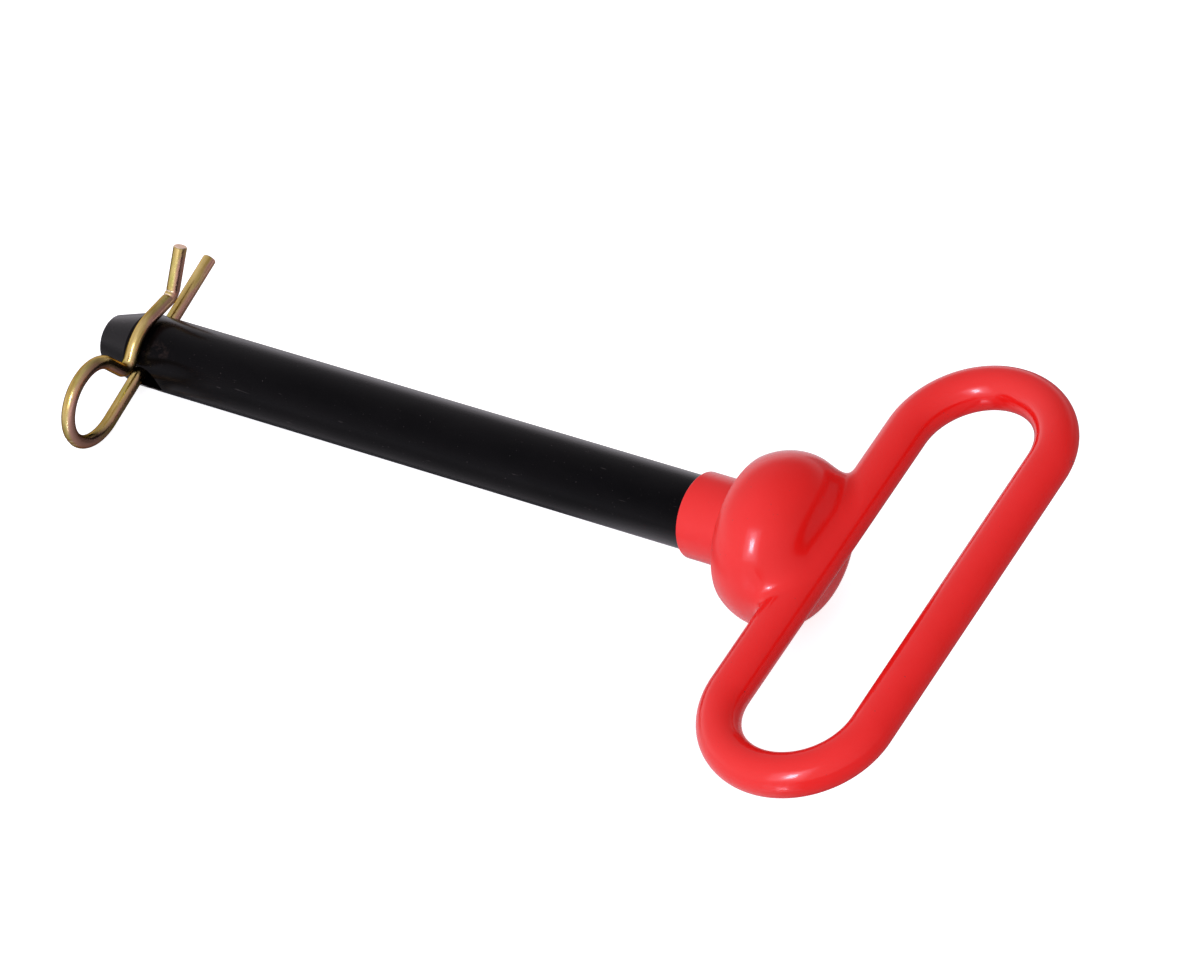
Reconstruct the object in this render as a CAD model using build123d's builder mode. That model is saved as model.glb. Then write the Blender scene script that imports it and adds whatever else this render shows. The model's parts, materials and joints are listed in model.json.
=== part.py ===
from build123d import *
import math
import os

# Hitch pin: a black steel shank with a cross hole behind its lead-in cone, a red
# one-piece handle (collar, mushroom dome, closed loop grip) pressed on to its upper end,
# and a hairpin clip of spring wire through the cross hole.
#
# Each piece is drawn on the bench frame: X along the shank with X = 0 at the collar's
# lower shoulder and +X towards the grip, Y along the grip's rails, Z square to the grip.
# At the end everything is laid down on the floor as it comes to rest.

# ---------------------------------------------------------------- driving dimensions, mm
SHANK_D = 25.4            # 1 in shank
SHOULDER_TO_HOLE = 216.4  # usable length, collar shoulder to the near edge of the hole
HOLE_D = 12.7             # 1/2 in cross hole for the clip
HOLE_CLOCK = 6.9          # the hole is drilled turned this far from the rails, degrees
HOLE_BREAK = 0.45         # deburred rim of the hole
CONE_START = 230.2        # shoulder to the big end of the lead-in cone
CONE_END = 243.9          # shoulder to the flat nose
NOSE_D = 17.1             # flat at the nose
NOSE_BREAK = 0.5

COLLAR_D = 29.5           # stands proud of the shank
COLLAR_BREAK = 0.5
DOME_D = 59.0
DOME_RIM_X = 32.8         # widest plane of the dome
DOME_UPPER_R = 15.3       # side rounding above the widest plane
DOME_LOWER_R = 20.0       # side rounding below it
DOME_UNDER_X = 21.4       # flat underside of the dome
DOME_UNDER_BREAK = 0.8
COLLAR_FILLET = 2.0       # cast fillet where collar meets the underside
SEAT_DEPTH = 38.0         # how far the shank is pressed into the head

GRIP_BAR_D = 14.7
LOWER_RAIL_X = 48.5       # rail centreline, half sunk in the dome's top
RAIL_SPACING = 53.8       # lower rail to upper rail, centre to centre
RAIL_LENGTH = 115.8       # straight part of each rail
GRIP_SHIFT = -3.2         # the loop sits a little off centre along Y
GRIP_TURN = 0.49          # rails turned this far off square to the shank, degrees
GRIP_LEAN = 1.86          # loop's plane leans this far off the shank's line, degrees
SADDLE_FILLET = 5.0       # concave fillet between dome and lower rail

WIRE_D = 4.76             # 3/16 in spring wire
LEG_FRONT_LENGTH = 38.0   # leg, from the shank axis to its cut end
LEG_BACK_LENGTH = 30.1    # leg, from the shank axis to where the ring starts
RING_NEAR_R = 15.2        # the ring tightens a little on its way round
RING_NEAR_TURN = 151.0    # degrees
RING_FAR_R = 13.4
RING_FAR_TURN = 103.0     # degrees
NECK_LENGTH = 9.4
WAIST_R = 3.55            # sharp bend where the arm leaves the ring
WAIST_TURN = 107.2        # degrees
RISER_LENGTH = 2.3
BOW_R = 16.1              # the arm's bow over the shank
BOW_TURN = 52.9           # degrees
RUN_OUT_LENGTH = 9.2
KINK_R = 4.8              # second bend, where the tail flares away
KINK_TURN = 62.2          # degrees
FLARE_LENGTH = 15.2
WIRE_END_BREAK = 0.35
# how the clip sits in its roomy hole: it lies against the nose side of the hole
LEG_TO_NOSE = 2.7         # leg's centreline, from the hole's centre towards the nose
LEG_LIFT = 2.2            # leg's centreline above the shank axis, square to the leg
LEG_RISE = 11.9           # leg turned about the shank, degrees
LEG_SKEW = 2.5            # leg turned towards the grip, degrees
CLIP_LEAN = 5.9           # clip's plane leans towards the grip about the leg, degrees

# ---------------------------------------------------------------- derived
SHANK_R = SHANK_D / 2
WIRE_R = WIRE_D / 2
HOLE_X = -(SHOULDER_TO_HOLE + HOLE_D / 2)
LEG_X = HOLE_X - LEG_TO_NOSE
DOME_R = DOME_D / 2
CROWN_X = DOME_RIM_X + DOME_UPPER_R
CROWN_R = DOME_R - DOME_UPPER_R
UNDER_DROP = DOME_RIM_X - DOME_UNDER_X
UNDER_R = DOME_R - DOME_LOWER_R + math.sqrt(DOME_LOWER_R**2 - UNDER_DROP**2)
LOOP_R = RAIL_SPACING / 2

# ---------------------------------------------------------------- pin
# one turned bar: cylinder, lead-in cone, flat nose; the top end is seated in the head
with BuildPart() as pin:
    with BuildSketch(Plane.XZ):
        with BuildLine():
            Polyline(
                (SEAT_DEPTH, 0),
                (SEAT_DEPTH, SHANK_R),
                (-CONE_START, SHANK_R),
                (-CONE_END, NOSE_D / 2),
                (-CONE_END, 0),
                close=True,
            )
        make_face()
    revolve(axis=Axis.X)
    nose_rim = pin.edges().filter_by(GeomType.CIRCLE).sort_by(Axis.X)[0]
    chamfer(nose_rim, NOSE_BREAK)
    # cross hole, square to the shank and turned HOLE_CLOCK about it
    hole_dir = Vector(0, 1, 0).rotate(Axis.X, HOLE_CLOCK)
    with BuildSketch(Plane(origin=(HOLE_X, 0, 0), x_dir=(1, 0, 0), z_dir=hole_dir)):
        Circle(HOLE_D / 2)
    extrude(amount=SHANK_D, both=True, mode=Mode.SUBTRACT)
    rims = pin.edges(Select.NEW).filter_by(GeomType.LINE, reverse=True)
    chamfer(rims, HOLE_BREAK)

# ---------------------------------------------------------------- handle
# collar and dome turned about the shank axis, closed loop of round bar sunk in the dome
with BuildPart() as handle:
    with BuildSketch(Plane.XZ):
        with BuildLine():
            Line((0, 0), (0, COLLAR_D / 2))
            Line((0, COLLAR_D / 2), (DOME_UNDER_X, COLLAR_D / 2))
            Line((DOME_UNDER_X, COLLAR_D / 2), (DOME_UNDER_X, UNDER_R))
            RadiusArc((DOME_UNDER_X, UNDER_R), (DOME_RIM_X, DOME_R), DOME_LOWER_R)
            RadiusArc((DOME_RIM_X, DOME_R), (CROWN_X, CROWN_R), DOME_UPPER_R)
            Line((CROWN_X, CROWN_R), (CROWN_X, 0))
            Line((CROWN_X, 0), (0, 0))
        make_face()
    revolve(axis=Axis.X)
    rings = handle.edges().filter_by(lambda e: e.is_closed).sort_by(Axis.X)
    shoulder_rim = rings[0]
    collar_root, under_rim = rings[1:3].sort_by(SortBy.LENGTH)
    fillet(shoulder_rim, COLLAR_BREAK)
    fillet(collar_root, COLLAR_FILLET)
    fillet(under_rim, DOME_UNDER_BREAK)
    # the loop's plane: its origin is the middle of the lower rail, x runs to the upper rail
    grip_plane = Plane(origin=(LOWER_RAIL_X, GRIP_SHIFT, 0)).rotated((0, -GRIP_LEAN, GRIP_TURN))
    with BuildLine(grip_plane) as loop:
        lower = Line((0, -RAIL_LENGTH / 2), (0, RAIL_LENGTH / 2))
        far_end = JernArc(lower @ 1, lower % 1, LOOP_R, -180)
        upper = PolarLine(far_end @ 1, RAIL_LENGTH, direction=far_end % 1)
        JernArc(upper @ 1, upper % 1, LOOP_R, -180)
    with BuildSketch(Plane(origin=lower @ 0, z_dir=lower % 0)):
        Circle(GRIP_BAR_D / 2)
    sweep(path=loop.wires()[0])
    # the loop is blended into the dome all round by one concave saddle fillet
    saddle = handle.edges().filter_by_position(Axis.X, DOME_RIM_X, LOWER_RAIL_X)
    saddle = saddle.filter_by(
        lambda e: e.geom_type in (GeomType.BSPLINE, GeomType.ELLIPSE, GeomType.LINE)
    )
    fillet(saddle, SADDLE_FILLET)
    # blind seat for the shank
    with BuildSketch(Plane.YZ):
        Circle(SHANK_R)
    extrude(amount=SEAT_DEPTH, mode=Mode.SUBTRACT)

# ---------------------------------------------------------------- hairpin clip
# one bent wire, drawn flat: straight leg, open ring, sharp waist, bow, kink, flared tail
with BuildPart() as hairpin_clip:
    with BuildLine(Plane.XY) as wire:
        leg = Line((LEG_FRONT_LENGTH, 0), (-LEG_BACK_LENGTH, 0))
        ring_a = JernArc(leg @ 1, leg % 1, RING_NEAR_R, -RING_NEAR_TURN)
        ring_b = JernArc(ring_a @ 1, ring_a % 1, RING_FAR_R, -RING_FAR_TURN)
        neck = PolarLine(ring_b @ 1, NECK_LENGTH, direction=ring_b % 1)
        waist = JernArc(neck @ 1, neck % 1, WAIST_R, WAIST_TURN)
        riser = PolarLine(waist @ 1, RISER_LENGTH, direction=waist % 1)
        bow = JernArc(riser @ 1, riser % 1, BOW_R, -BOW_TURN)
        run_out = PolarLine(bow @ 1, RUN_OUT_LENGTH, direction=bow % 1)
        kink = JernArc(run_out @ 1, run_out % 1, KINK_R, KINK_TURN)
        PolarLine(kink @ 1, FLARE_LENGTH, direction=kink % 1)
    with BuildSketch(Plane(origin=leg @ 0, z_dir=leg % 0)):
        Circle(WIRE_R)
    sweep(path=wire.wires()[0])
    cut_ends = hairpin_clip.faces().filter_by(GeomType.PLANE).edges()
    chamfer(cut_ends, WIRE_END_BREAK)

# where the flat-drawn clip goes on the bench frame
leg_dir = Vector(0, 1, 0).rotate(Axis.Z, -LEG_SKEW).rotate(Axis.X, LEG_RISE)
across = Vector(1, 0, 0).rotate(Axis.Z, -LEG_SKEW).rotate(Axis.X, LEG_RISE)
lift_dir = Vector(0, 0, 1).rotate(Axis.X, LEG_RISE)
clip_normal = across.rotate(Axis((0, 0, 0), leg_dir), CLIP_LEAN)
clip_plane = Plane(
    origin=Vector(LEG_X, 0, 0) + lift_dir * LEG_LIFT,
    x_dir=leg_dir,
    z_dir=clip_normal,
)

# ---------------------------------------------------------------- laid down on the floor
# The part rests on three points: the dome's side, the big end of the lead-in cone and the
# clip's ring. roll turns it about the shank, pitch lowers the nose; both are solved so
# that the three stand equally low.


def reach(down):
    """How far dome, cone edge and clip ring reach along the direction down."""
    dome = DOME_RIM_X * down.X + (DOME_R - DOME_LOWER_R) * math.hypot(down.Y, down.Z) + DOME_LOWER_R
    cone = -CONE_START * down.X + SHANK_R * math.hypot(down.Y, down.Z)
    ring_centre = clip_plane.from_local_coords(ring_a.arc_center)
    in_plane = math.sqrt(1 - down.dot(clip_plane.z_dir) ** 2)
    ring = ring_centre.dot(down) + RING_NEAR_R * in_plane + WIRE_R
    return dome, cone, ring


def up_at(roll, pitch):
    return Vector(0, 0, 1).rotate(Axis.X, -roll).rotate(Axis.Y, pitch)


roll, pitch = 10.0, 4.0
for _ in range(60):
    dome_low, cone_low, ring_low = reach(-up_at(roll, pitch))
    pitch += math.degrees((dome_low - cone_low) / (CONE_START + DOME_RIM_X)) * 0.8
    roll += math.degrees((cone_low - ring_low) / LEG_BACK_LENGTH) * 0.6

up = up_at(roll, pitch)
forward = (Vector(1, 0, 0) - up * up.X).normalized()
floor = Plane(origin=(0, 0, 0), x_dir=forward, z_dir=up)
on_bench = [pin.part, handle.part, clip_plane.location * hairpin_clip.part]
box = Compound([floor.to_local_coords(piece) for piece in on_bench]).bounding_box()
middle = Vector((box.min.X + box.max.X) / 2, (box.min.Y + box.max.Y) / 2, box.min.Z)
# the floor's origin is the middle of the part's outline, at its lowest points
floor = Plane(origin=floor.from_local_coords(middle), x_dir=forward, z_dir=up)

os.makedirs("parts", exist_ok=True)
pin.part = floor.to_local_coords(pin.part)
pin.part.label = "pin"
export_step(pin.part, "parts/pin.step")
handle.part = floor.to_local_coords(handle.part)
handle.part.label = "handle"
export_step(handle.part, "parts/handle.step")
hairpin_clip.part = floor.to_local_coords(clip_plane.location * hairpin_clip.part)
hairpin_clip.part.label = "hairpin_clip"
export_step(hairpin_clip.part, "parts/hairpin_clip.step")

print(f"rests rolled {roll:.2f} and nose down {pitch:.2f} degrees; reaches", reach(-up))
for name, point in (
    ("shoulder centre", (0, 0, 0)),
    ("hole centre", (HOLE_X, 0, 0)),
    ("loop centre", grip_plane.from_local_coords((LOOP_R, 0, 0))),
    ("ring centre", clip_plane.from_local_coords(ring_a.arc_center)),
):
    print(name, floor.to_local_coords(Vector(point)))
for name, direction in (
    ("shank axis", (1, 0, 0)),
    ("rails", grip_plane.y_dir),
    ("grip normal", grip_plane.z_dir),
    ("leg", leg_dir),
):
    print(name, floor.to_local_coords(floor.origin + Vector(direction)))
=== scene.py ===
import bmesh
import bpy
import json
import math
import numpy as np
from mathutils import Matrix, Vector


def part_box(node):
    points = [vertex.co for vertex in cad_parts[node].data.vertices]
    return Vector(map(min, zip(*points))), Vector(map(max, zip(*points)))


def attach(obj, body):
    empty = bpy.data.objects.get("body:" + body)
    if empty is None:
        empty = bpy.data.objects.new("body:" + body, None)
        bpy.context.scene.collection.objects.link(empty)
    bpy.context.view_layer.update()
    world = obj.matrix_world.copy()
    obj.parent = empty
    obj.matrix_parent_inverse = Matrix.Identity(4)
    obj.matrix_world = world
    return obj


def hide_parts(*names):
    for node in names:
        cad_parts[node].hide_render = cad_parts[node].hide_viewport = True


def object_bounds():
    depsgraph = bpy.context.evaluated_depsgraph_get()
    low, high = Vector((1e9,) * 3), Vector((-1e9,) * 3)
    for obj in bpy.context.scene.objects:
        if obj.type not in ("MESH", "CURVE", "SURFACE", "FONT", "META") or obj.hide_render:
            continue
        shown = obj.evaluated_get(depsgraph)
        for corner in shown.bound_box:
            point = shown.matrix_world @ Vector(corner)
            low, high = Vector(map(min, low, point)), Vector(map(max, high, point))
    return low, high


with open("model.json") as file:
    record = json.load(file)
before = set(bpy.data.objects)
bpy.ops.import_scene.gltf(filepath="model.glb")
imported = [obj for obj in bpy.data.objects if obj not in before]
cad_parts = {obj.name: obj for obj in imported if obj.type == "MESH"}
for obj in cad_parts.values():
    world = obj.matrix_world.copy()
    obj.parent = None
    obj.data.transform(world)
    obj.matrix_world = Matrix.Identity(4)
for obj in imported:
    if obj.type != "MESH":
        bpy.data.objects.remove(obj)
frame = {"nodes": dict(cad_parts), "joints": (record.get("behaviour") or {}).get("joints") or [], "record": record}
cad_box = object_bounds()
scene = bpy.context.scene
low, high = (Vector(corner) for corner in cad_box)
middle = (low + high) / 2

# ------------------------------------------------------------------------ camera
# A long lens looks down on the pin from the side of the grip's near end, turned a
# little on its own axis, so that the shank runs down to the right.
VIEW_TURN = math.radians(38.74)    # camera stands this far round from the front
VIEW_DROP = math.radians(40.23)    # and looks this far down
VIEW_ROLL = math.radians(-7.81)
VIEW_DISTANCE = 2.4244
AIM_RIGHT, AIM_UP = 0.02425, -0.00803
LENS, SENSOR = 219.94, 36.0        # mm

turn = Matrix.Rotation(VIEW_TURN, 3, "Z")
drop = Matrix.Rotation(math.pi / 2 - VIEW_DROP, 3, "X")
roll = Matrix.Rotation(VIEW_ROLL, 3, "Z")
look = turn @ drop @ roll
camera = bpy.data.objects.new("camera", bpy.data.cameras.new("camera"))
camera.data.lens = LENS
camera.data.sensor_width = SENSOR
camera.data.clip_end = 20
camera.location = middle + look @ Vector((AIM_RIGHT, AIM_UP, VIEW_DISTANCE))
camera.rotation_euler = look.to_euler()
scene.collection.objects.link(camera)
scene.camera = camera

# ------------------------------------------------------------------------ floor
# A sheet of white paper. To the eye and in reflections it glows a little, up to the white
# of the backdrop, and what it lacks in light under the part stays as the part's shadow.
# Reflections show it grey along the shank and inside the grip, where the table was in shade.
FLOOR_HALF = 6.0
PAPER_COLOR = 0.70
PAPER_GLOW = 0.79
PAPER_SHINE = 0.12                 # the same, as it shows in reflections
PAPER_GLAZE = 0.24                 # how much of the lamps the smooth table gives back there
SHADE_DEPTH = 0.76                 # the share of its brightness the shade takes
BESIDE_START, BESIDE_END = 0.03, 0.11      # lit again this far to either side of the shank
HEAD_START, HEAD_END = 0.0, 0.05           # and from here on towards the handle
SHADE_SIDE = math.radians(20)              # up to the grip's shade, which lies on this side
GRIP_START, GRIP_END = 0.095, 0.130


def node(tree, kind, inputs=None, **settings):
    """A new node. inputs maps a socket's name or number to a value or to another socket."""
    made = tree.nodes.new(kind)
    for name, value in settings.items():
        setattr(made, name, value)
    for key, value in (inputs or {}).items():
        if isinstance(value, bpy.types.NodeSocket):
            tree.links.new(value, made.inputs[key])
        else:
            made.inputs[key].default_value = value
    return made


def math_node(tree, operation, *values):
    return node(tree, "ShaderNodeMath", dict(enumerate(values)), operation=operation).outputs[0]


floor_mesh = bpy.data.meshes.new("floor")
floor_corners = [
    (-FLOOR_HALF, -FLOOR_HALF, 0),
    (FLOOR_HALF, -FLOOR_HALF, 0),
    (FLOOR_HALF, FLOOR_HALF, 0),
    (-FLOOR_HALF, FLOOR_HALF, 0),
]
floor_mesh.from_pydata(floor_corners, [], [(0, 1, 2, 3)])
floor = bpy.data.objects.new("floor", floor_mesh)
scene.collection.objects.link(floor)

paper = bpy.data.materials.new("white_paper")
paper.use_nodes = True
tree = paper.node_tree
tree.nodes.clear()
rays = node(tree, "ShaderNodeLightPath").outputs
place = node(tree, "ShaderNodeTexCoord").outputs["Object"]
across = node(tree, "ShaderNodeSeparateXYZ", {0: place}).outputs
shade_way = {0: place, 1: (math.cos(SHADE_SIDE), math.sin(SHADE_SIDE), 0.0)}
toward_grip = node(tree, "ShaderNodeVectorMath", shade_way, operation="DOT_PRODUCT").outputs["Value"]


def eased(value, start, end, to_start=0.0, to_end=1.0):
    ends = {"From Min": start, "From Max": end, "To Min": to_start, "To Max": to_end}
    wanted = {"Value": value, **ends}
    return node(tree, "ShaderNodeMapRange", wanted, interpolation_type="SMOOTHSTEP").outputs[0]


beside = eased(math_node(tree, "ABSOLUTE", across["Y"]), BESIDE_START, BESIDE_END)
lit = math_node(tree, "MAXIMUM", beside, eased(across["X"], HEAD_START, HEAD_END))
lit = math_node(tree, "MULTIPLY", lit, eased(toward_grip, GRIP_START, GRIP_END, 1.0, 0.0))
shaded = math_node(tree, "SUBTRACT", rays["Is Glossy Ray"], lit)
shaded = math_node(tree, "MAXIMUM", shaded, 0.0)
matt_level = math_node(tree, "MULTIPLY_ADD", shaded, -SHADE_DEPTH * PAPER_COLOR, PAPER_COLOR)
matt = node(tree, "ShaderNodeBsdfDiffuse", {"Color": matt_level})
glow_level = math_node(tree, "MAXIMUM", rays["Is Camera Ray"], rays["Is Transmission Ray"])
glow_level = math_node(tree, "MULTIPLY", glow_level, PAPER_GLOW)
shine = math_node(tree, "MULTIPLY", lit, PAPER_SHINE)
glow_level = math_node(tree, "MULTIPLY_ADD", rays["Is Glossy Ray"], shine, glow_level)
glow = node(tree, "ShaderNodeEmission", {"Strength": glow_level})
both = node(tree, "ShaderNodeAddShader", {0: matt.outputs[0], 1: glow.outputs[0]})
glaze_level = math_node(tree, "MULTIPLY", rays["Is Glossy Ray"], PAPER_GLAZE)
glaze = node(tree, "ShaderNodeBsdfGlossy", {"Color": glaze_level, "Roughness": 0.10})
both = node(tree, "ShaderNodeAddShader", {0: both.outputs[0], 1: glaze.outputs[0]})
node(tree, "ShaderNodeOutputMaterial", {"Surface": both.outputs[0]})
floor_mesh.materials.append(paper)

# ------------------------------------------------------------------------ studio light
# A white room, brighter on the side of the lamps and low down round the backdrop, with
# one tall soft lamp left of the camera that is brightest in its middle.
ROOM_LEVEL = 0.715                 # brightness of the room, half way round
ROOM_LEAN = 0.17                   # how much brighter it is towards the lamp
ROOM_SHINE_LEAN = 0.56             # the same, as it shows in reflections
ROOM_BRIGHT_SIDE = math.radians(-110)
BACKDROP_SIDE = math.radians(140)  # the backdrop stands behind the part
BACKDROP_LEVEL = 0.65              # added near the horizon
BACKDROP_TOP = 0.45                # sine of the height where the backdrop ends

world = bpy.data.worlds.new("studio")
world.use_nodes = True
tree = world.node_tree
outward = node(tree, "ShaderNodeTexCoord").outputs["Generated"]


def facing_side(side):
    """The cosine between the way a ray leaves and that side of the room."""
    way = {0: outward, 1: (math.cos(side), math.sin(side), 0.0)}
    return node(tree, "ShaderNodeVectorMath", way, operation="DOT_PRODUCT").outputs["Value"]


rays = node(tree, "ShaderNodeLightPath").outputs
lean = math_node(tree, "MULTIPLY_ADD", rays["Is Glossy Ray"], ROOM_SHINE_LEAN - ROOM_LEAN, ROOM_LEAN)
room = math_node(tree, "MULTIPLY_ADD", facing_side(ROOM_BRIGHT_SIDE), lean, ROOM_LEVEL)
height = node(tree, "ShaderNodeSeparateXYZ", {0: outward}).outputs["Z"]
backdrop = node(
    tree,
    "ShaderNodeMapRange",
    {"Value": height, "From Min": 0.0, "From Max": BACKDROP_TOP, "To Min": 1.0, "To Max": 0.0},
    interpolation_type="SMOOTHSTEP",
).outputs[0]
behind = math_node(tree, "MAXIMUM", facing_side(BACKDROP_SIDE), 0.0)
backdrop = math_node(tree, "MULTIPLY", backdrop, behind)
level = math_node(tree, "MULTIPLY_ADD", backdrop, BACKDROP_LEVEL, room)
seen = math_node(tree, "MAXIMUM", rays["Is Camera Ray"], rays["Is Transmission Ray"])
level = math_node(tree, "MAXIMUM", level, seen)
tree.nodes["Background"].inputs["Color"].default_value = (1.0, 0.93, 0.995, 1)
tree.links.new(level, tree.nodes["Background"].inputs["Strength"])
scene.world = world
scene.view_settings.view_transform = "Standard"


def lamp(name, side, rise, width, tall, level, distance=2.0):
    """A rectangular lamp facing the part from side and rise, both in degrees."""
    area = bpy.data.lights.new(name, "AREA")
    area.shape = "RECTANGLE"
    area.size, area.size_y = width, tall
    area.energy = level * width * tall * math.pi
    area.color = (0.94, 0.98, 1.22)
    side, rise = math.radians(side), math.radians(rise)
    outward = Vector((math.cos(side) * math.cos(rise), math.sin(side) * math.cos(rise), math.sin(rise)))
    holder = bpy.data.objects.new(name, area)
    holder.location = middle + outward * distance
    holder.rotation_euler = outward.to_track_quat("Z", "Y").to_euler()
    holder.visible_camera = False
    scene.collection.objects.link(holder)


lamp("tall_softbox", -80, 28, 1.2, 1.4, 1.1)
lamp("softbox_middle", -79, 30, 0.5, 1.0, 1.7)
lamp("softbox_centre", -78, 28, 0.26, 0.50, 20)

# ------------------------------------------------------------------------ pin
# The pin is one turned bar of steel, blackened all over: plain shank, lead-in cone and
# flat nose, with a deburred cross hole for the clip. Its upper end is pressed into the
# handle. The copy of the CAD mesh gets the true normals of its cylinder, cone and hole.
SHANK_R = 0.0127
SHANK_LENGTH = 0.2164              # shoulder to the near edge of the cross hole
HOLE_R = 0.00635
HOLE_CLOCK = math.radians(6.9)     # hole turned about the shank, against the grip
CONE_START, CONE_END = 0.2302, 0.2439
NOSE_R = 0.00855
HOLE_BREAK = 0.0006                # the deburred rim stays within this of the hole
ON_SKIN = 0.00002                  # a facet's corner lies this near its true surface
GRIP_ROLL = math.radians(10.39)    # the grip lies rolled about the shank by this much

mounts = {mount["name"]: mount for mount in frame["record"]["mounts"]}
along_shank = -Vector(mounts["shank"]["axis"]).normalized()
shoulder = Vector(mounts["shank"]["pos_m"]) + along_shank * SHANK_LENGTH / 2
level_across = Vector((0, 0, 1)).cross(along_shank).normalized()
grip_across = Matrix.Rotation(GRIP_ROLL, 3, along_shank) @ level_across
grip_up = along_shank.cross(grip_across)
# columns: along the shank, along the grip's rails, square to the grip
bench = Matrix((along_shank, grip_across, grip_up)).transposed()


def merged_copy(part):
    """A CAD node's mesh as a bmesh, with its loose triangles joined."""
    shape = bmesh.new()
    shape.from_mesh(frame["nodes"][part].data)
    bmesh.ops.remove_doubles(shape, verts=shape.verts, dist=1e-6)
    return shape


def finished(name, shape, *materials):
    """An object at the origin, smooth all over, made of that bmesh."""
    mesh = bpy.data.meshes.new(name)
    shape.to_mesh(mesh)
    shape.free()
    for finish in materials:
        mesh.materials.append(finish)
    mesh.polygons.foreach_set("use_smooth", [True] * len(mesh.polygons))
    made = bpy.data.objects.new(name, mesh)
    scene.collection.objects.link(made)
    return made


def mix_color(tree, factor, first, second):
    return node(
        tree, "ShaderNodeMix", {0: factor, 6: first, 7: second}, data_type="RGBA"
    ).outputs[2]


def spread(tree, value, low, high, to_low=0.0, to_high=1.0):
    """value from low to high, carried over to to_low to to_high and clamped."""
    ends = {"From Min": low, "From Max": high, "To Min": to_low, "To Max": to_high}
    return node(tree, "ShaderNodeMapRange", {"Value": value, **ends}).outputs[0]


def noise(tree, place, scale, detail=2.0, roughness=0.5, stretch=None):
    if stretch:
        place = node(tree, "ShaderNodeMapping", {"Vector": place, "Scale": stretch}).outputs[0]
    wanted = {"Vector": place, "Scale": scale, "Detail": detail, "Roughness": roughness}
    return node(tree, "ShaderNodeTexNoise", wanted).outputs[0]


def on_bench(tree):
    """Object coordinates turned on to the shank: X along it from the shoulder, in metres."""
    place = node(tree, "ShaderNodeTexCoord").outputs["Object"]
    laid = {"Vector": place, "Location": shoulder, "Rotation": bench.to_euler()}
    return node(tree, "ShaderNodeMapping", laid, vector_type="TEXTURE").outputs[0]


def near(tree, place, centre, inner, outer):
    """1 within inner of centre, falling to 0 at outer."""
    away = node(
        tree, "ShaderNodeVectorMath", {0: place, 1: centre}, operation="DISTANCE"
    ).outputs["Value"]
    return spread(tree, away, inner, outer, 1.0, 0.0)


def black_oxide():
    """Blackened steel: uneven film, a few pale specks, brown rubbing by the clip."""
    made = bpy.data.materials.new("black_oxide")
    made.use_nodes = True
    tree = made.node_tree
    place = on_bench(tree)
    clouds = noise(tree, place, 60, 6, 0.62, (0.5, 1, 1))
    color = mix_color(
        tree, spread(tree, clouds, 0.35, 0.68), (0.0007, 0.0007, 0.0009, 1), (0.0026, 0.0024, 0.0026, 1)
    )
    rubbed = math_node(
        tree,
        "MULTIPLY",
        near(tree, place, (-0.2165, -0.007, 0.0105), 0.001, 0.007),
        spread(tree, noise(tree, place, 320, 4, 0.6), 0.52, 0.74),
    )
    color = mix_color(tree, rubbed, color, (0.034, 0.022, 0.018, 1))
    specks = spread(tree, noise(tree, place, 1500, 1, 0.4), 0.765, 0.80)
    scratches = spread(tree, noise(tree, place, 900, 2, 0.5, (0.12, 1, 1)), 0.74, 0.78)
    marks = math_node(tree, "MAXIMUM", specks, math_node(tree, "MULTIPLY", scratches, 0.5))
    color = mix_color(tree, marks, color, (0.042, 0.036, 0.035, 1))
    rough = spread(tree, noise(tree, place, 140, 5, 0.6, (0.35, 1, 1)), 0.3, 0.7, 0.17, 0.27)
    grain = noise(tree, place, 1100, 3, 0.6, (0.3, 1, 1))
    bump = node(tree, "ShaderNodeBump", {"Height": grain, "Distance": 0.000025, "Strength": 1.0})
    steel = tree.nodes["Principled BSDF"]
    steel.inputs["Specular Tint"].default_value = (0.04, 0.04, 0.045, 1)
    tree.links.new(color, steel.inputs["Base Color"])
    tree.links.new(rough, steel.inputs["Roughness"])
    tree.links.new(bump.outputs[0], steel.inputs["Normal"])
    return made


def worn_edge():
    """Where the film is cut through at the deburred rim, the steel shows grey."""
    made = bpy.data.materials.new("worn_edge")
    made.use_nodes = True
    tree = made.node_tree
    place = on_bench(tree)
    patches = spread(tree, noise(tree, place, 420, 4, 0.6), 0.38, 0.62)
    color = mix_color(tree, patches, (0.02, 0.02, 0.02, 1), (0.20, 0.19, 0.17, 1))
    steel = tree.nodes["Principled BSDF"]
    steel.inputs["Metallic"].default_value = 0.6
    steel.inputs["Roughness"].default_value = 0.38
    tree.links.new(color, steel.inputs["Base Color"])
    return made


pin = finished("pin_steel", merged_copy("pin"), black_oxide(), worn_edge())
hole_axis = np.array(bench @ Vector((0, math.cos(HOLE_CLOCK), math.sin(HOLE_CLOCK))))
hole_centre = np.array(shoulder - along_shank * (SHANK_LENGTH + HOLE_R))
shank_axis = np.array(along_shank)
cone_fall = (SHANK_R - NOSE_R) / math.hypot(SHANK_R - NOSE_R, CONE_END - CONE_START)
cone_rise = math.sqrt(1 - cone_fall**2)


def square_to(axis, points, centre):
    """How far points lie from the line through centre, and their unit directions from it."""
    offsets = points - np.array(centre)
    offsets = offsets - (offsets @ axis)[:, None] * axis
    distances = np.linalg.norm(offsets, axis=1)
    return distances, offsets / np.maximum(distances, 1e-9)[:, None]


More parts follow.
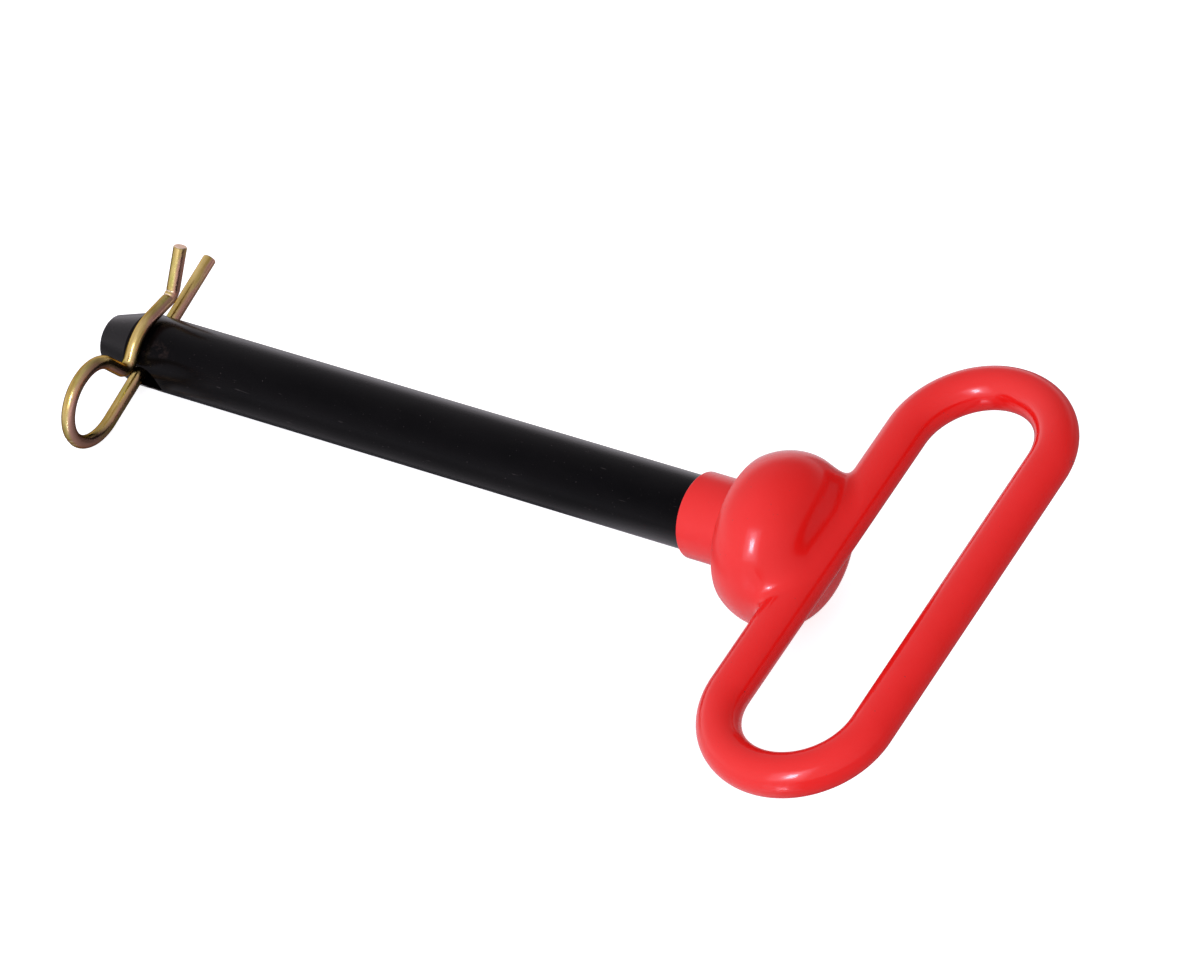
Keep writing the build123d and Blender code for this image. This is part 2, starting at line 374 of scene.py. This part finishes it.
corner_normals = np.empty((len(pin.data.loops), 3), np.float32)
pin.data.corner_normals.foreach_get("vector", corner_normals.ravel())
for face in pin.data.polygons:
    centre = np.array(face.center)[None]
    facing = np.array(face.normal)
    corners = list(face.loop_indices)
    points = np.array([pin.data.vertices[v].co for v in face.vertices])
    from_shank = square_to(shank_axis, points, shoulder)[1]
    from_hole, out_of_hole = square_to(hole_axis, points, hole_centre)
    down_shank = (np.array(shoulder) - centre[0]) @ shank_axis
    in_hole = np.all(np.abs(from_hole - HOLE_R) < ON_SKIN) and abs(facing @ hole_axis) < 0.05
    round_hole = from_hole.max() < HOLE_R + HOLE_BREAK and from_hole.min() > HOLE_R - ON_SKIN
    if in_hole:
        corner_normals[corners] = -out_of_hole
    elif round_hole and abs(facing @ from_shank.mean(0)) < 0.96:
        face.material_index = 1
        corner_normals[corners] = facing
    elif down_shank < CONE_START and abs(facing @ shank_axis) < 0.02:
        corner_normals[corners] = from_shank
    elif abs(-facing @ shank_axis - cone_fall) < 0.05:
        corner_normals[corners] = from_shank * cone_rise - shank_axis * cone_fall
    else:
        corner_normals[corners] = facing
pin.data.normals_split_custom_set(corner_normals.tolist())
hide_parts("pin")
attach(pin, "hitch_pin")

# ------------------------------------------------------------------------ handle
# The handle is one casting dipped in a thick, glossy red coat: a short collar, a mushroom
# dome, and a closed loop of round bar sunk in the dome's top with a soft fillet round it.
# The copy of the CAD mesh is split finer and laid on the true curves of those forms.
COLLAR_R = 14.75                   # mm, on the bench: x along the shank, y along the rails
COLLAR_BREAK = 0.5
COLLAR_FILLET = 2.0
DOME_R = 29.5
DOME_RIM_X = 32.8
DOME_UPPER_R, DOME_LOWER_R = 15.3, 20.0
DOME_UNDER_X = 21.4
DOME_UNDER_BREAK = 0.8
BAR_R = 7.35
LOOP_CENTRE_R = 26.9               # half the spacing of the rails
RAIL_HALF = 57.9                   # half the straight part of a rail
RAIL_MIDDLE = (48.5, -3.2, 0.0)    # middle of the lower rail
GRIP_LEAN = math.radians(1.86)
GRIP_TURN = math.radians(0.49)
# how far the soft blend of dome and rail reaches up the rail and out over the dome, in the
# middle of the saddle and where the rail leaves the dome
BLEND_ON_RAIL, BLEND_ON_RAIL_END = 6.5, 5.2
BLEND_ON_DOME, BLEND_ON_DOME_END = 15.0, 8.5
SADDLE_HALF = 27.0                 # from the saddle's middle to its ends
SEAT_WALL, SEAT_END = 0.4, 38.2    # the shank's seat: this near the shank, up to this x
# the rest of the handle's sizes are in metres
SADDLE_X = 0.048                   # the saddle's middle
SADDLE_BALL = 0.027                # the ball that holds the blend
SADDLE_MESH = 0.0015               # longest edge in the blend
SLIVER = 0.00002                   # shorter edges are closed up
SPLITS, LAYINGS, CLEANINGS = 6, 6, 3

# columns: from rail to rail, along the rails, square to the loop
grip = np.array(Matrix.Rotation(-GRIP_LEAN, 3, "Y") @ Matrix.Rotation(GRIP_TURN, 3, "Z"))


def joined(first, second, radius):
    """Two bodies (distance, outward direction) made one, with a rolled fillet between."""
    (a, to_a), (b, to_b) = first, second
    meet = np.sum(to_a * to_b, axis=1)
    flat = np.maximum(1 - meet**2, 1e-6)
    by_a = ((radius - a) - meet * (radius - b)) / flat
    by_b = ((radius - b) - meet * (radius - a)) / flat
    reach = np.sqrt(np.maximum(by_a**2 + by_b**2 + 2 * by_a * by_b * meet, 1e-12))
    rolled = (by_a > 0) & (by_b > 0)
    nearer = a < b
    distance = np.where(rolled, radius - reach, np.where(nearer, a, b))
    fillet = (by_a[:, None] * to_a + by_b[:, None] * to_b) / reach[:, None]
    plain = np.where(nearer[:, None], to_a, to_b)
    return distance, np.where(rolled[:, None], fillet, plain)


def trimmed(first, second, radius):
    """What two bodies share, with its edge rounded."""
    outside = joined((-first[0], -first[1]), (-second[0], -second[1]), radius)
    return -outside[0], -outside[1]


def head_skin(points):
    """Distance to collar and dome, for points on the bench."""
    x = points[:, 0]
    out = points * (0, 1, 1)
    radius = np.linalg.norm(out, axis=1) + 1e-9
    out = out / radius[:, None]
    up = np.tile((1.0, 0.0, 0.0), (len(points), 1))
    above = x > DOME_RIM_X
    rounding = np.where(above, DOME_UPPER_R, DOME_LOWER_R)
    across = np.maximum(radius - (DOME_R - rounding), 0)
    reach = np.hypot(x - DOME_RIM_X, across) + 1e-9
    way = ((x - DOME_RIM_X)[:, None] * up + across[:, None] * out) / reach[:, None]
    dome = trimmed((reach - rounding, way), (DOME_UNDER_X - x, -up), DOME_UNDER_BREAK)
    collar = trimmed((radius - COLLAR_R, out), (-x, -up), COLLAR_BREAK)
    collar = trimmed(collar, (x - DOME_RIM_X, up), COLLAR_BREAK)      # it ends inside the dome
    return joined(dome, collar, COLLAR_FILLET)[0]


def loop_skin(points):
    """Distance to the loop's round bar, for points on the bench."""
    local = (points - np.array(RAIL_MIDDLE)) @ grip
    past_rail = np.maximum(np.abs(local[:, 1]) - RAIL_HALF, 0)
    sideways = np.hypot(past_rail, local[:, 0] - LOOP_CENTRE_R) - LOOP_CENTRE_R
    return np.hypot(sideways, local[:, 2]) - BAR_R


def handle_skin(points):
    """Distance to the whole handle. The blend is widest on the dome, in the saddle's middle."""
    along_rail = np.abs((points - np.array(RAIL_MIDDLE)) @ grip[:, 1]) / SADDLE_HALF
    share = np.cos(np.clip(along_rail, 0, 1) * math.pi) / 2 + 0.5
    on_rail = BLEND_ON_RAIL_END + (BLEND_ON_RAIL - BLEND_ON_RAIL_END) * share
    on_dome = BLEND_ON_DOME_END + (BLEND_ON_DOME - BLEND_ON_DOME_END) * share
    head = head_skin(points)
    loop = loop_skin(points) * on_rail / on_dome
    overlap = np.maximum(on_rail - np.abs(head - loop), 0) / on_rail
    return np.minimum(head, loop) - overlap**2 * on_rail / 4


def out_of_skin(points, step=0.02):
    """How the distance to the handle grows at each point."""
    sides = [handle_skin(points + way) - handle_skin(points - way) for way in np.eye(3) * step]
    return np.stack(sides, axis=1) / (2 * step)


def red_coat():
    """Thick glossy red coat with a faint orange peel, dust specks and one nick."""
    made = bpy.data.materials.new("red_coat")
    made.use_nodes = True
    tree = made.node_tree
    place = on_bench(tree)
    clouds = noise(tree, place, 55, 4, 0.55)
    color = mix_color(
        tree, spread(tree, clouds, 0.3, 0.7), (0.770, 0.0075, 0.0050, 1), (0.810, 0.0095, 0.0085, 1)
    )
    dust = spread(tree, noise(tree, place, 1300, 0, 0.0), 0.86, 0.89)
    color = mix_color(tree, dust, color, (0.42, 0.02, 0.02, 1))
    nick = math_node(
        tree,
        "MULTIPLY",
        near(tree, place, (0.1087, 0.0601, 0.0012), 0.0006, 0.0022),
        spread(tree, noise(tree, place, 900, 3, 0.6), 0.50, 0.56),
    )
    color = mix_color(tree, nick, color, (0.05, 0.012, 0.012, 1))
    rough = spread(tree, noise(tree, place, 90, 4, 0.6), 0.3, 0.7, 0.13, 0.19)
    rough = math_node(tree, "MULTIPLY_ADD", nick, 0.4, rough)
    peel = noise(tree, place, 420, 2, 0.45)
    sag = noise(tree, place, 70, 1, 0.4)
    surface = math_node(tree, "MULTIPLY_ADD", sag, 3.0, peel)
    surface = math_node(tree, "MULTIPLY_ADD", dust, 0.8, surface)
    surface = math_node(tree, "MULTIPLY_ADD", nick, -8.0, surface)
    bump = node(tree, "ShaderNodeBump", {"Height": surface, "Distance": 0.000016, "Strength": 1.0})
    coat = tree.nodes["Principled BSDF"]
    tree.links.new(color, coat.inputs["Base Color"])
    tree.links.new(rough, coat.inputs["Roughness"])
    tree.links.new(bump.outputs[0], coat.inputs["Normal"])
    return made


def in_saddle(edge):
    """Whether an edge comes near the blend of dome and rail."""
    first, second = (corner.co for corner in edge.verts)
    share = (saddle_middle - first).dot(second - first) / (second - first).length_squared
    nearest = first.lerp(second, min(max(share, 0.0), 1.0))
    return (nearest - saddle_middle).length < SADDLE_BALL


handle_shape = merged_copy("handle")
bmesh.ops.subdivide_edges(handle_shape, edges=handle_shape.edges, cuts=1, use_grid_fill=True)
saddle_middle = shoulder + bench @ Vector((SADDLE_X, 0, 0))
for _ in range(SPLITS):
    coarse = [edge for edge in handle_shape.edges if edge.calc_length() > SADDLE_MESH and in_saddle(edge)]
    bmesh.ops.subdivide_edges(handle_shape, edges=coarse, cuts=1)
    bmesh.ops.triangulate(handle_shape, faces=handle_shape.faces)
handle = finished("handle_coated", handle_shape, red_coat())
handle_mesh = handle.data
turned = np.array(bench)


def laid_on_bench(mesh):
    """A mesh's corners on the bench in mm, and which of them are outside the shank's seat."""
    spots = np.empty((len(mesh.vertices), 3))
    mesh.vertices.foreach_get("co", spots.ravel())
    spots = (spots - np.array(shoulder)) @ turned * 1000
    off_seat = np.linalg.norm(spots[:, 1:], axis=1) > SHANK_R * 1000 + SEAT_WALL
    return spots, off_seat | (spots[:, 0] > SEAT_END)


spots, outer = laid_on_bench(handle_mesh)
for _ in range(LAYINGS):
    growth = out_of_skin(spots)
    steep = np.maximum(np.sum(growth**2, axis=1), 0.2)
    stepped = spots - (handle_skin(spots) / steep)[:, None] * growth
    spots = np.where(outer[:, None], stepped, spots)
handle_mesh.vertices.foreach_set("co", (spots / 1000 @ turned.T + np.array(shoulder)).ravel())
# slivers that the move closed up are taken out again
handle_shape = bmesh.new()
handle_shape.from_mesh(handle_mesh)
for _ in range(CLEANINGS):
    bmesh.ops.dissolve_degenerate(handle_shape, dist=SLIVER, edges=handle_shape.edges)
    bmesh.ops.triangulate(handle_shape, faces=handle_shape.faces)
handle_shape.to_mesh(handle_mesh)
handle_shape.free()
handle_mesh.update()
spots, outer = laid_on_bench(handle_mesh)
normals = np.empty((len(handle_mesh.vertices), 3))
handle_mesh.vertex_normals.foreach_get("vector", normals.ravel())
growth = out_of_skin(spots)
growth /= np.linalg.norm(growth, axis=1)[:, None]
normals = np.where(outer[:, None], growth @ turned.T, normals)
handle_mesh.normals_split_custom_set_from_vertices(normals.tolist())
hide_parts("handle")
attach(handle, "hitch_pin")

# ------------------------------------------------------------------------ hairpin clip
# The clip is one length of spring wire, zinc plated and yellow passivated, bent on pegs:
# straight leg through the hole, open ring, sharp waist, bow over the shank, kink, tail.
# The pegs and jaws left shallow pinches, and both ends are cut square.
WIRE_R = 0.00238
END_BREAK = 0.00035
WIRE_STEP = 0.0004                 # spacing of the path's points
WIRE_SIDES = 40
PINCH_DEPTH = 0.10                 # of the wire's radius
PINCH_HALF = 0.0006                # half the length of a pinch
PINCH_SIDE = (-0.95, 0.3, 0)       # outward of the bends, and a little to the handle
# straight lengths, and bends as (radius, degrees), from the leg's cut end to the tail's
STRETCHES = (
    0.0681, (0.0152, -151.0), (0.0134, -103.0), 0.0094, (0.00355, 107.2), 0.0023,
    (0.0161, -52.9), 0.0092, (0.0048, 62.2), 0.0152,
)
# how far along the wire the pinches lie: on the ring, and each side of the kink
PINCHES = (0.0905, 0.0925, 0.1758, 0.1782)

spot, heading, run = Vector((0, 0, 0)), math.pi, 0.0
path, along = [spot.copy()], [0.0]
for stretch in STRETCHES:
    radius, degrees = stretch if isinstance(stretch, tuple) else (None, 0.0)
    length = radius * math.radians(abs(degrees)) if radius else stretch
    count = max(2, round(length / WIRE_STEP))
    for _ in range(count):
        heading += math.radians(degrees) / count / 2
        spot += Vector((math.cos(heading), math.sin(heading), 0)) * length / count
        heading += math.radians(degrees) / count / 2
        run += length / count
        path.append(spot.copy())
        along.append(run)
pinches = [sum(math.exp(-(((at - where) / PINCH_HALF) ** 2)) for where in PINCHES) for at in along]
# how far the broken ends lie below the full round, as a share of the wire's radius
breaks = [max(0.0, END_BREAK - min(at, run - at)) / WIRE_R for at in along]


def bent_wire():
    """Geometry Nodes: a round wire along a path of edges, with pinches and broken ends."""
    tree = bpy.data.node_groups.new("bent_wire", "GeometryNodeTree")
    for name, kind in (
        ("Path", "NodeSocketGeometry"),
        ("Wire Radius", "NodeSocketFloat"),
        ("Sides", "NodeSocketInt"),
        ("Pinch Depth", "NodeSocketFloat"),
        ("Pinch Side", "NodeSocketVector"),
        ("Finish", "NodeSocketMaterial"),
    ):
        tree.interface.new_socket(name, in_out="INPUT", socket_type=kind)
    tree.interface.new_socket("Wire", in_out="OUTPUT", socket_type="NodeSocketGeometry")
    given = node(tree, "NodeGroupInput").outputs

    def stored(shape, name, kind, value):
        wanted = {"Geometry": shape, "Name": name, "Value": value}
        return node(tree, "GeometryNodeStoreNamedAttribute", wanted, data_type=kind).outputs[0]

    def attribute(name, kind):
        wanted = {"Name": name}
        return node(tree, "GeometryNodeInputNamedAttribute", wanted, data_type=kind).outputs[0]

    position = node(tree, "GeometryNodeInputPosition").outputs[0]
    path = stored(given["Path"], "core", "FLOAT_VECTOR", position)
    path = node(tree, "GeometryNodeMeshToCurve", {"Mesh": path}).outputs[0]
    ring = node(
        tree,
        "GeometryNodeCurvePrimitiveCircle",
        {"Resolution": given["Sides"], "Radius": given["Wire Radius"]},
    ).outputs[0]
    ring = stored(ring, "around", "FLOAT_VECTOR", position)
    wire = node(
        tree, "GeometryNodeCurveToMesh", {"Curve": path, "Profile Curve": ring, "Fill Caps": True}
    ).outputs[0]
    spoke = attribute("around", "FLOAT_VECTOR")
    around = node(tree, "ShaderNodeSeparateXYZ", {0: spoke}).outputs
    place = node(
        tree,
        "ShaderNodeCombineXYZ",
        {"X": attribute("run", "FLOAT"), "Y": around["X"], "Z": around["Y"]},
    ).outputs[0]
    wire = stored(wire, "wire_place", "FLOAT_VECTOR", place)
    inward = node(
        tree,
        "ShaderNodeVectorMath",
        {0: attribute("core", "FLOAT_VECTOR"), 1: position},
        operation="SUBTRACT",
    ).outputs[0]
    facing = node(
        tree, "ShaderNodeVectorMath", {0: spoke, 1: given["Pinch Side"]}, operation="DOT_PRODUCT"
    ).outputs["Value"]
    facing = math_node(tree, "MAXIMUM", math_node(tree, "DIVIDE", facing, given["Wire Radius"]), 0.0)
    pressed = math_node(tree, "MULTIPLY", attribute("pinch", "FLOAT"), facing)
    wire = stored(wire, "pressed", "FLOAT", pressed)
    inset = math_node(tree, "MULTIPLY_ADD", pressed, given["Pinch Depth"], attribute("break", "FLOAT"))
    offset = node(
        tree, "ShaderNodeVectorMath", {0: inward, "Scale": inset}, operation="SCALE"
    ).outputs[0]
    wire = node(tree, "GeometryNodeSetPosition", {"Geometry": wire, "Offset": offset}).outputs[0]
    wire = node(tree, "GeometryNodeSetShadeSmooth", {"Geometry": wire}).outputs[0]
    wire = node(tree, "GeometryNodeRealizeInstances", {"Geometry": wire}).outputs[0]
    wire = node(
        tree, "GeometryNodeSetMaterial", {"Geometry": wire, "Material": given["Finish"]}
    ).outputs[0]
    node(tree, "NodeGroupOutput", {"Wire": wire})
    return tree


def cut_ends(tree, along_wire):
    """1 on the two cut ends of the wire, which the film hardly covers."""
    first = spread(tree, along_wire, 0.00005, 0.0003, 1.0, 0.0)
    last = spread(tree, along_wire, run - 0.0003, run - 0.00005)
    return math_node(tree, "MAXIMUM", first, last)


def yellow_zinc():
    """Bright zinc under a yellow film that turns green in patches, with a rose tint along one side of the wire
    that is partly the film's own colour and partly painted sheen.
    """
    made = bpy.data.materials.new("yellow_zinc")
    made.use_nodes = True
    tree = made.node_tree
    place = node(tree, "ShaderNodeAttribute", attribute_name="wire_place").outputs["Vector"]
    pressed = node(tree, "ShaderNodeAttribute", attribute_name="pressed").outputs["Fac"]
    streaks = noise(tree, place, 480, 4, 0.6, (0.14, 1, 1))
    drift = noise(tree, place, 170, 3, 0.55, (0.35, 1, 1))
    color = mix_color(
        tree, spread(tree, streaks, 0.36, 0.64), (0.40, 0.285, 0.078, 1), (0.68, 0.54, 0.22, 1)
    )
    color = mix_color(tree, spread(tree, drift, 0.52, 0.68), color, (0.40, 0.40, 0.10, 1))
    side = node(tree, "ShaderNodeSeparateXYZ", {0: place}).outputs
    # painted sheen: rose laid in patches on one side of the wire's plane, for the rose the film shows at grazing
    # angles
    rose_sheen_painted = math_node(
        tree,
        "MULTIPLY",
        spread(tree, side["Z"], -0.0008, -0.0018),
        spread(tree, noise(tree, place, 200, 3, 0.5, (0.3, 1, 1)), 0.40, 0.58),
    )
    color = mix_color(tree, rose_sheen_painted, color, (0.62, 0.35, 0.26, 1))
    bright = math_node(tree, "MAXIMUM", spread(tree, pressed, 0.4, 0.95), cut_ends(tree, side["X"]))
    color = mix_color(tree, bright, color, (0.95, 0.80, 0.68, 1))
    grains = noise(tree, place, 1300, 3, 0.7, (0.7, 1, 1))
    rough = spread(tree, noise(tree, place, 700, 3, 0.6), 0.3, 0.7, 0.13, 0.24)
    bump = node(tree, "ShaderNodeBump", {"Height": grains, "Distance": 0.000075, "Strength": 1.0})
    zinc = tree.nodes["Principled BSDF"]
    zinc.inputs["Metallic"].default_value = 1.0
    zinc.inputs["Specular Tint"].default_value = (0.52, 0.35, 0.24, 1)
    tree.links.new(color, zinc.inputs["Base Color"])
    tree.links.new(rough, zinc.inputs["Roughness"])
    tree.links.new(bump.outputs[0], zinc.inputs["Normal"])
    return made


guide = bpy.data.meshes.new("hairpin_path")
guide.from_pydata(path, [(at, at + 1) for at in range(len(path) - 1)], [])
for name, values in (("run", along), ("break", breaks), ("pinch", pinches)):
    guide.attributes.new(name, "FLOAT", "POINT").data.foreach_set("value", values)
clip = bpy.data.objects.new("hairpin_wire", guide)
scene.collection.objects.link(clip)
bending = clip.modifiers.new("bent_wire", "NODES")
bending.node_group = bent_wire()
wanted = {
    "Wire Radius": WIRE_R,
    "Sides": WIRE_SIDES,
    "Pinch Depth": PINCH_DEPTH,
    "Pinch Side": PINCH_SIDE,
    "Finish": yellow_zinc(),
}
for socket in bending.node_group.interface.items_tree:
    if socket.in_out == "INPUT" and socket.name in wanted:
        bending[socket.identifier] = wanted[socket.name]
shown = clip.evaluated_get(bpy.context.evaluated_depsgraph_get())
wire_mesh = bpy.data.meshes.new_from_object(shown)
clip.modifiers.remove(bending)
clip.data = wire_mesh
wire_mesh.set_sharp_from_angle(angle=math.radians(30))

# the clip lies as its CAD node does: leg along the joint, flat in the wire's own plane
joint = next(joint for joint in frame["joints"] if joint["name"] == "clip_pull")
toward_leg_end = -Vector(joint["axis"]).normalized()
cad_clip = frame["nodes"]["hairpin_clip"].data
cad_spots = np.array([corner.co for corner in cad_clip.vertices])
thinnest = Vector(np.linalg.eigh(np.cov(cad_spots.T))[1][:, 0])
thinnest = thinnest if thinnest.dot(along_shank) > 0 else -thinnest
thinnest = (thinnest - toward_leg_end * thinnest.dot(toward_leg_end)).normalized()
bent_side = thinnest.cross(toward_leg_end)
wire_mesh.transform(Matrix((toward_leg_end, bent_side, thinnest)).transposed().to_4x4())
cad_low, cad_high = (Vector(corner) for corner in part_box("hairpin_clip"))
wire_spots = np.array([corner.co for corner in wire_mesh.vertices])
wire_middle = Vector((wire_spots.min(axis=0) + wire_spots.max(axis=0)) / 2)
wire_mesh.transform(Matrix.Translation((cad_low + cad_high) / 2 - wire_middle))
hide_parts("hairpin_clip")
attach(clip, "clip")
